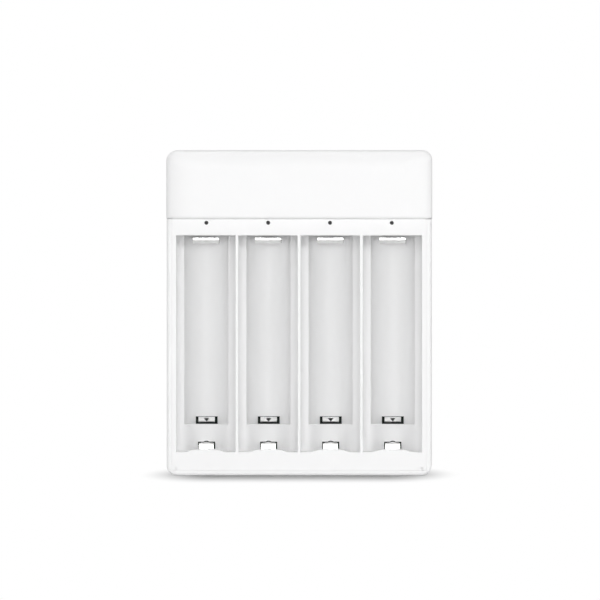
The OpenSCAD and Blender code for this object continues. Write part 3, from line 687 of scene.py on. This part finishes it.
def model_shell():
    """The outer form of the tub, with the back half of the head on top of it."""
    lower = box("rear_tub", (-BODY_HALF, at(0), 0), (BODY_HALF, BACK_Y, SEAM_Z - FIT_GAP))
    round_edges(lower, lambda a, b: lies_on(a, b, z=0) and not near(a.y, b.y), LOW_CORNER, 12)
    round_edges(lower, lambda a, b: lies_on(a, b, y=BACK_Y) and min(a.z, b.z) < SEAM_Z - OVER,
                BACK_ROUND, 10)
    round_edges(lower, lambda a, b: lies_on(a, b, y=at(0)) and min(a.z, b.z) < SEAM_Z - OVER, RIM_ROUND, 6)
    upper = box("head back", (-HEAD_HALF, PARTING_Y, SEAM_Z - FIT_GAP), (HEAD_HALF, BACK_Y, TOP_Z))
    above = SEAM_Z + OVER
    round_edges(upper, lambda a, b: lies_on(a, b, z=TOP_Z) and not near(a.y, b.y), TOP_CORNER, 12)
    round_edges(upper, lambda a, b: lies_on(a, b, y=BACK_Y) and max(a.z, b.z) > above, BACK_ROUND, 10)
    round_edges(upper, lambda a, b: lies_on(a, b, y=PARTING_Y) and max(a.z, b.z) > above, SEAM_BREAK, 3)
    add(lower, upper)
    return lower


def hollow_shell(shell):
    """Opens the tub from the front, and cuts the screws' recesses and the inlet's opening."""
    inner = HEAD_HALF - HEAD_WALL
    cut(shell,
        box("tub space", (-TRAY_HALF - SEAM_GAP, at(-OVER), TRAY_LOW - SEAM_GAP),
            (TRAY_HALF + SEAM_GAP, INNER_BACK, SEAM_Z + OVER)),
        box("head space", (-inner, PARTING_Y - OVER, SEAM_Z - OVER), (inner, INNER_BACK, TOP_Z - HEAD_WALL)))
    recesses = []
    for x, z in screw_places():
        recesses.append(round_bar("screw recess", (x, BACK_Y - RECESS_DEPTH, z), (x, BACK_Y + OVER, z),
                                  RECESS_R))
        recesses.append(round_bar("screw hole", (x, INNER_BACK - OVER, z), (x, BACK_Y, z), SCREW_HOLE_R, 32))
    middle = (inlet_low + inlet_high) / 2
    recesses.append(race_track("inlet opening", inlet_high.x + INLET_GAP,
                               (inlet_high.y - inlet_low.y) / 2 + INLET_GAP,
                               middle.y, TOP_Z - HEAD_WALL - OVER, TOP_Z + OVER))
    cut(shell, *recesses)
    round_edges(shell, recess_rim, RECESS_ROUND, 3)
    round_edges(shell, lambda a, b: lies_on(a, b, y=at(0)) and inside_tub(a) and inside_tub(b),
                TRAY_BREAK, 2)
    finish_piece(shell, "housing", "shell_plastic", shell_white, "rear_housing")


def inside_tub(point):
    """True for a corner on the inner side of the tub's wall."""
    return near(abs(point.x), TRAY_HALF + SEAM_GAP) or near(point.z, TRAY_LOW - SEAM_GAP)


def recess_rim(a, b):
    """True for an edge around a screw recess on the back, or around the inlet's opening on the top."""
    on_back = lies_on(a, b, y=BACK_Y)
    on_top = lies_on(a, b, z=TOP_Z) and max(abs(a.x), abs(b.x)) < 6 * MM
    if on_top:
        return min(a.y, b.y) > PARTING_Y + OVER
    return on_back and all(any(near(math.hypot(p.x - x, p.z - z), RECESS_R, 0.05 * MM)
                               for x, z in screw_places()) for p in (a, b))


def screw_places():
    """The four screws' axes, as (x, z)."""
    low_x = bay_x[3] - bay_x[2]
    high_x = screws_high.x - SCREW_HEAD_R
    return [(side * x, z) for side in (-1, 1)
            for x, z in ((low_x, screws_low.z + SCREW_HEAD_R), (high_x, screws_high.z - SCREW_HEAD_R))]


def race_track(name, half_w, half_t, y, low_z, high_z):
    """A block with fully rounded ends, seen from above."""
    track = box(name, (-half_w, y - half_t, low_z), (half_w, y + half_t, high_z))
    round_edges(track, lambda a, b: near(a.x, b.x) and near(a.y, b.y), half_t * FULL_ROUND, 12)
    return track


# The contacts

def bent_strip(name, x, width, path, tail_from, bend=BEND_REACH):
    """Sheet metal along a path of (y, z) corners: pulled out by its edge, rounded and thickened.

    From the corner with the number tail_from on, it is only as wide as its tail.
    """
    first = path[0]
    bpy.ops.object.select_all(action="DESELECT")
    bpy.ops.mesh.primitive_plane_add(size=1, location=(0, 0, 0))
    strip = bpy.context.object
    strip.name = name
    only(strip)
    bpy.ops.object.mode_set(mode="EDIT")
    mesh = bmesh.from_edit_mesh(strip.data)
    for point in mesh.verts:
        corner = first if point.co.y < 0 else path[1]
        point.co = (x + width / 2 * (1 if point.co.x > 0 else -1), corner[0], corner[1])
    bmesh.update_edit_mesh(strip.data)
    here = path[1]
    select_edges(strip, lambda a, b: lies_on(a, b, y=here[0], z=here[1]))
    for number, corner in enumerate(path[2:], start=2):
        bpy.ops.mesh.extrude_region_move(
            TRANSFORM_OT_translate={"value": (0, corner[0] - here[0], corner[1] - here[1])})
        if tail_from == number:
            bpy.ops.transform.resize(value=(TAIL_W / width, 1, 1),
                                     center_override=(x, corner[0], corner[1]))
        here = corner
    bpy.ops.object.mode_set(mode="OBJECT")
    bends = [corner for before, corner, after in zip(path, path[1:], path[2:])
             if turns(before, corner, after)]
    only(strip)
    bpy.ops.object.mode_set(mode="EDIT")
    select_edges(strip, lambda a, b: near(a.y, b.y) and near(a.z, b.z)
                 and any(near(a.y, bend[0]) and near(a.z, bend[1]) for bend in bends))
    bpy.ops.mesh.bevel(offset=bend, segments=6, profile=0.5, affect="EDGES", clamp_overlap=False)
    bpy.ops.mesh.select_all(action="SELECT")
    bpy.ops.mesh.normals_make_consistent(inside=False)
    bpy.ops.object.mode_set(mode="OBJECT")
    sheet = strip.modifiers.new("sheet", "SOLIDIFY")
    sheet.thickness = STRIP
    sheet.offset = 0
    sheet.use_even_offset = True
    bpy.ops.object.modifier_apply(modifier=sheet.name)
    return strip


def turns(before, corner, after):
    """True where a path of (y, z) points changes its direction."""
    into = Vector(corner) - Vector(before)
    out = Vector(after) - Vector(corner)
    return into.angle(out) > math.radians(3)


def break_strip_edges(strip):
    """Takes the sharpness off the sheared edges."""
    only(strip)
    bevel = strip.modifiers.new("broken edges", "BEVEL")
    bevel.width = EDGE_BREAK
    bevel.segments = 2
    bevel.limit_method = "ANGLE"
    bevel.angle_limit = math.radians(50)
    bpy.ops.object.modifier_apply(modifier=bevel.name)


def model_positive(bay):
    """A bright plate at a bay's upper end: a short front, a level face for the cells, and a narrow tail."""
    node = f"positive_contact_{bay}"
    low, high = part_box(node)
    x = bay_x[bay - 1]
    face = low.z + STRIP / 2
    tail = face + PLUS_TAIL_RISE
    front = low.y + STRIP / 2
    face_front, face_back, tail_front, narrow_front = (at(depth) for depth in PLUS_DEPTHS)
    strip = bent_strip(f"positive_plate_{bay}", x, PLUS_W, [
        (front, high.z), (front, low.z + PLUS_RISE), (face_front, face), (face_back, face),
        (tail_front, tail), (narrow_front, tail), (high.y, tail),
    ], 5, PLUS_BEND_REACH)
    break_strip_edges(strip)
    finish_piece(strip, "housing", "contact_nickel", nickel, node)


def dimple(centre, radius, ground):
    """The part of a ball that lies beyond a plane, as a pressed dimple."""
    bpy.ops.object.select_all(action="DESELECT")
    bpy.ops.mesh.primitive_uv_sphere_add(segments=48, ring_count=48, radius=radius, location=centre)
    ball = bpy.context.object
    bpy.ops.object.transform_apply(location=True, rotation=True, scale=True)
    bpy.ops.object.mode_set(mode="EDIT")
    bpy.ops.mesh.select_all(action="SELECT")
    bpy.ops.mesh.bisect(plane_co=ground, plane_no=(0, 0, 1), use_fill=True, clear_inner=True,
                        threshold=0.001 * MM)
    bpy.ops.object.mode_set(mode="OBJECT")
    return ball


def model_thick(bay):
    """The thick cell's leaf: a skirt, a level top with a dimple, and a slope back to its hinge."""
    node = f"thick_contact_{bay}"
    low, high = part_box(node)
    x = bay_x[bay - 1]
    top = high.z - DIMPLE_H - STRIP / 2
    front = at(THICK_FRONT) + STRIP / 2
    strip = bent_strip(f"thick_cell_leaf_{bay}", x, high.x - low.x, [
        (front, low.z), (front, top), (at(THICK_FRONT + THICK_FLAT), top), (at(LEAF_BACK), THICK_PIVOT_Z),
        (at(FLOOR_DEPTH), THICK_PIVOT_Z), (high.y, THICK_PIVOT_Z),
    ], 4)
    add(strip, dimple((x, at(THICK_FRONT + THICK_FLAT / 2), high.z - DIMPLE_R), DIMPLE_R, (x, front, top)))
    break_strip_edges(strip)
    finish_piece(strip, f"thick_cell_spring_{bay}", "contact_nickel", nickel, node)


def model_thin(bay):
    """The thin cell's leaf: a steep front with a small hole, and a long slope back to its hinge."""
    node = f"thin_contact_{bay}"
    low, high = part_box(node)
    x = bay_x[bay - 1]
    tip = Vector((x, at(THIN_FRONT), THIN_TOUCH_Z - THIN_TIP_DROP - STRIP / 2))
    crest = tip + Vector((0, THIN_RUN, THIN_RISE))
    strip = bent_strip(f"thin_cell_leaf_{bay}", x, high.x - low.x, [
        (tip.y, tip.z), (crest.y, crest.z), (at(LEAF_BACK), THIN_PIVOT_Z), (at(FLOOR_DEPTH), THIN_PIVOT_Z),
        (high.y, THIN_PIVOT_Z),
    ], 3)
    cut(strip, piercing(crest + WEDGE_PLACE))
    break_strip_edges(strip)
    finish_piece(strip, f"thin_cell_spring_{bay}", "contact_nickel", nickel, node)


def piercing(middle_of_top):
    """A wedge that points down, for the small hole in the front of a thin cell's leaf."""
    radius = WEDGE_H / 1.5
    bpy.ops.object.select_all(action="DESELECT")
    bpy.ops.mesh.primitive_cylinder_add(vertices=3, radius=radius, depth=WEDGE_REACH,
                                        location=middle_of_top - Vector((0, 0, WEDGE_H / 3)),
                                        rotation=(math.radians(-90), 0, 0))
    wedge = bpy.context.object
    wedge.scale.x = WEDGE_W / (radius * math.sqrt(3))
    bpy.ops.object.transform_apply(location=True, rotation=True, scale=True)
    return wedge


# The screws and the inlet

def model_screws():
    """Four screws with cross heads, in one piece because they stand for one node."""
    parts = []
    for x, z in screw_places():
        head_y = BACK_Y - SCREW_SINK
        foot_y = BACK_Y - RECESS_DEPTH
        head = round_bar("screw head", (x, foot_y, z), (x, head_y, z), SCREW_HEAD_R)
        round_edges(head, lambda a, b: lies_on(a, b, y=head_y), SCREW_HEAD_ROUND, 5)
        shank = round_bar("screw shank", (x, screws_low.y, z), (x, foot_y + 0.1 * MM, z), SHANK_R, 32)
        add(head, shank)
        cross = [box("cross", (x - a, head_y - CROSS_DEPTH, z - b), (x + a, head_y + OVER, z + b))
                 for a, b in ((CROSS_REACH, CROSS_HALF), (CROSS_HALF, CROSS_REACH))]
        cut(head, *cross)
        parts.append(head)
    bpy.ops.object.select_all(action="DESELECT")
    for part in parts:
        part.select_set(True)
    bpy.context.view_layer.objects.active = parts[0]
    bpy.ops.object.join()
    screws = bpy.context.object
    screws.name = "four_screws"
    finish_piece(screws, "housing", "screw_steel", screw_steel, "housing_screws")


def model_inlet():
    """The power inlet: a sheet metal sleeve around a flat tongue on a foot."""
    middle = (inlet_low + inlet_high) / 2
    half_t = (inlet_high.y - inlet_low.y) / 2
    shell = race_track("inlet_sleeve", inlet_high.x, half_t, middle.y, inlet_low.z, inlet_high.z)
    cut(shell, race_track("sleeve space", inlet_high.x - INLET_SHEET, half_t - INLET_SHEET, middle.y,
                          inlet_low.z + INLET_SHEET, inlet_high.z + OVER))
    round_edges(shell, lambda a, b: lies_on(a, b, z=inlet_high.z), 0.1 * MM, 3)
    finish_piece(shell, "housing", "inlet_steel", inlet_steel, "inlet_shell")
    tongue_low, tongue_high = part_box("inlet_tongue")
    tongue = race_track("inlet_blade", tongue_high.x, (tongue_high.y - tongue_low.y) / 2, middle.y,
                        tongue_low.z, tongue_low.z + TONGUE_FOOT)
    blade = box("blade", (-BLADE_HALF_W, middle.y - BLADE_HALF_T, tongue_low.z + OVER),
                (BLADE_HALF_W, middle.y + BLADE_HALF_T, tongue_high.z))
    add(tongue, blade)
    round_edges(tongue, lambda a, b: lies_on(a, b, z=tongue_high.z), 0.12 * MM, 3)
    finish_piece(tongue, "housing", "inlet_black", inlet_black, "inlet_tongue")


# The view: a long lens a little to the right of the front, just above the middle of the charger.
# The lamps stand around it, and the floor and the backdrop are white further out; near the foot the floor
# carries a painted shadow.

VIEW_AZIMUTH = math.radians(0.6)
VIEW_ELEVATION = math.radians(1)
VIEW_DISTANCE = 6
PICTURE = 600
SCALE = 3981  # pixels of the picture to a metre at the charger
AIM_PX = (299.5, 311.4)  # where the point below shows in the picture
AIM = Vector((0, 0, 41 * MM))
MIDDLE = Vector((0, 0, 40 * MM))
# name, azimuth and elevation in degrees, distance, width and height in metres, watts
SOFT_BOXES = [
    ("soft_box_above", 180, 70, 1.2, 0.6, 0.6, 3.8),
    ("soft_box_high", 0, 72, 1.2, 0.4, 0.4, 1.5),
    ("soft_box_front", 0, 2, 1.4, 0.4, 0.3, 8.0),
    ("soft_box_left", -48, 4, 1.3, 0.18, 0.4, 2.6),
    ("soft_box_right", 48, 4, 1.3, 0.18, 0.4, 5.2),
    ("soft_box_far_left", -85, 8, 1.2, 0.4, 0.4, 1.1),
    ("soft_box_far_right", 85, 8, 1.2, 0.4, 0.4, 0.5),
]
WORLD_FILL = 0.29
FLOOR_BOUNCE = 0.7  # the floor's tone for the light that it throws back
FLOOR_PAINTED_SHADOW_TONE = 0.4  # the floor's seen tone near the charger's foot: a painted shadow, darker than the tone it throws back
# The painted shadow fades from the foot into white between these distances, drawn out past the foot's ends
# along X.
FADE_START = 6 * MM
FADE_END = 95 * MM
FOOT_HALF = 21.5 * MM
SIDE_STRETCH = 4.9


def way_to(azimuth, elevation):
    """A direction, with the azimuth counted from the charger's front to its right, in radians."""
    return Vector((math.sin(azimuth) * math.cos(elevation), -math.cos(azimuth) * math.cos(elevation),
                   math.sin(elevation)))


def place_camera():
    bpy.ops.object.camera_add()
    camera = bpy.context.object
    camera.name = "camera"
    camera.data.sensor_width = 36
    width = PICTURE / SCALE
    camera.data.lens = camera.data.sensor_width * VIEW_DISTANCE / width
    back = way_to(VIEW_AZIMUTH, VIEW_ELEVATION)
    camera.location = AIM + back * VIEW_DISTANCE
    camera.rotation_mode = "QUATERNION"
    camera.rotation_quaternion = (-back).to_track_quat("-Z", "Y")
    camera.data.shift_x = (PICTURE / 2 - AIM_PX[0]) / PICTURE
    camera.data.shift_y = (AIM_PX[1] - PICTURE / 2) / PICTURE
    camera.data.clip_start = 0.05
    camera.data.clip_end = 20
    bpy.context.scene.camera = camera


def light_studio():
    for name, azimuth, elevation, distance, width, height, power in SOFT_BOXES:
        way = way_to(math.radians(azimuth), math.radians(elevation))
        bpy.ops.object.light_add(type="AREA", location=MIDDLE + way * distance)
        lamp = bpy.context.object
        lamp.name = name
        lamp.data.shape = "RECTANGLE"
        lamp.data.size, lamp.data.size_y = width, height
        lamp.data.energy = power
        lamp.rotation_mode = "QUATERNION"
        lamp.rotation_quaternion = (-way).to_track_quat("-Z", "Y")


def calculate(tree, operation, first, second):
    """A node that works out one step from an output, with a number or another output."""
    step = tree.nodes.new("ShaderNodeMath")
    step.operation = operation
    tree.links.new(first, step.inputs[0])
    if isinstance(second, (int, float)):
        step.inputs[1].default_value = second
    else:
        tree.links.new(second, step.inputs[1])
    return step.outputs["Value"]


def seen_directly(tree):
    """1 for what the camera sees, also in a reflection or through a pipe's plastic, and 0 for other light."""
    light_path = tree.nodes.new("ShaderNodeLightPath")
    seen = light_path.outputs["Is Camera Ray"]
    for kind in ("Is Glossy Ray", "Is Transmission Ray"):
        seen = calculate(tree, "MAXIMUM", seen, light_path.outputs[kind])
    return seen


def choose_surface(tree, output, share, first, second):
    """Ends a material or the world in a mix: the first surface at 0, and the second at 1."""
    choose = tree.nodes.new("ShaderNodeMixShader")
    tree.links.new(share, choose.inputs["Fac"])
    tree.links.new(first, choose.inputs[1])
    tree.links.new(second, choose.inputs[2])
    tree.links.new(choose.outputs["Shader"], tree.nodes[output].inputs["Surface"])


def set_world():
    """White where it is seen, and a weaker even fill for all other light."""
    world = bpy.data.worlds.new("studio")
    bpy.context.scene.world = world
    world.use_nodes = True
    tree = world.node_tree
    fill = tree.nodes["Background"]
    fill.inputs["Color"].default_value = (1, 1, 1, 1)
    fill.inputs["Strength"].default_value = WORLD_FILL
    white = tree.nodes.new("ShaderNodeBackground")
    white.inputs["Color"].default_value = (1, 1, 1, 1)
    white.inputs["Strength"].default_value = 1.0
    choose_surface(tree, "World Output", seen_directly(tree), fill.outputs["Background"],
                   white.outputs["Background"])


def distance_from_foot(tree):
    """How far a place on the floor lies out, which places the painted shadow: plain along Y, and stretched
    past the foot's ends along X.
    """
    place = tree.nodes.new("ShaderNodeTexCoord")
    parts = tree.nodes.new("ShaderNodeSeparateXYZ")
    tree.links.new(place.outputs["Object"], parts.inputs["Vector"])
    sideways = parts.outputs["X"]
    for operation, value in (("ABSOLUTE", 0), ("SUBTRACT", FOOT_HALF), ("MAXIMUM", 0),
                             ("MULTIPLY", SIDE_STRETCH)):
        sideways = calculate(tree, operation, sideways, value)
    together = tree.nodes.new("ShaderNodeCombineXYZ")
    tree.links.new(sideways, together.inputs["X"])
    tree.links.new(parts.outputs["Y"], together.inputs["Y"])
    away = tree.nodes.new("ShaderNodeVectorMath")
    away.operation = "LENGTH"
    tree.links.new(together.outputs["Vector"], away.inputs[0])
    return away.outputs["Value"]


def lay_floor():
    """A wide pale floor. It keeps the object's shadow. Near the foot it is seen darker than the light it
    throws back, a painted shadow, and further out it turns as white as the backdrop.
    """
    bpy.ops.object.select_all(action="DESELECT")
    bpy.ops.mesh.primitive_plane_add(size=60, location=(0, 0, 0))
    floor = bpy.context.object
    floor.name = "floor"
    material = bpy.data.materials.new("pale floor")
    material.use_nodes = True
    tree = material.node_tree
    shader = tree.nodes["Principled BSDF"]
    tone = tree.nodes.new("ShaderNodeMix")
    tone.data_type = "RGBA"
    # The seen tone is darker than the bounce: painted shadow near the foot.
    for socket, level in (("A", FLOOR_BOUNCE), ("B", FLOOR_PAINTED_SHADOW_TONE)):
        tone.inputs[socket].default_value = (level, level, level, 1)
    tree.links.new(seen_directly(tree), tone.inputs["Factor"])
    tree.links.new(tone.outputs["Result"], shader.inputs["Base Color"])
    shader.inputs["Roughness"].default_value = 0.9
    shader.inputs["Specular IOR Level"].default_value = 0.1
    fade = tree.nodes.new("ShaderNodeMapRange")
    fade.interpolation_type = "SMOOTHSTEP"
    fade.inputs["From Min"].default_value = FADE_START
    fade.inputs["From Max"].default_value = FADE_END
    tree.links.new(distance_from_foot(tree), fade.inputs["Value"])
    share = calculate(tree, "MULTIPLY", fade.outputs["Result"], seen_directly(tree))
    white = tree.nodes.new("ShaderNodeEmission")
    white.inputs["Color"].default_value = (1, 1, 1, 1)
    white.inputs["Strength"].default_value = 1.0
    choose_surface(tree, "Material Output", share, shader.outputs["BSDF"], white.outputs["Emission"])
    floor.data.materials.append(material)


place_camera()
light_studio()
set_world()
lay_floor()
finish_carried_nodes()
model_tray()
hollow_head(model_head())
hollow_shell(model_shell())
for bay in BAYS:
    model_positive(bay)
    model_thick(bay)
    model_thin(bay)
model_screws()
model_inlet()

bpy.context.scene.view_settings.view_transform = "Standard"
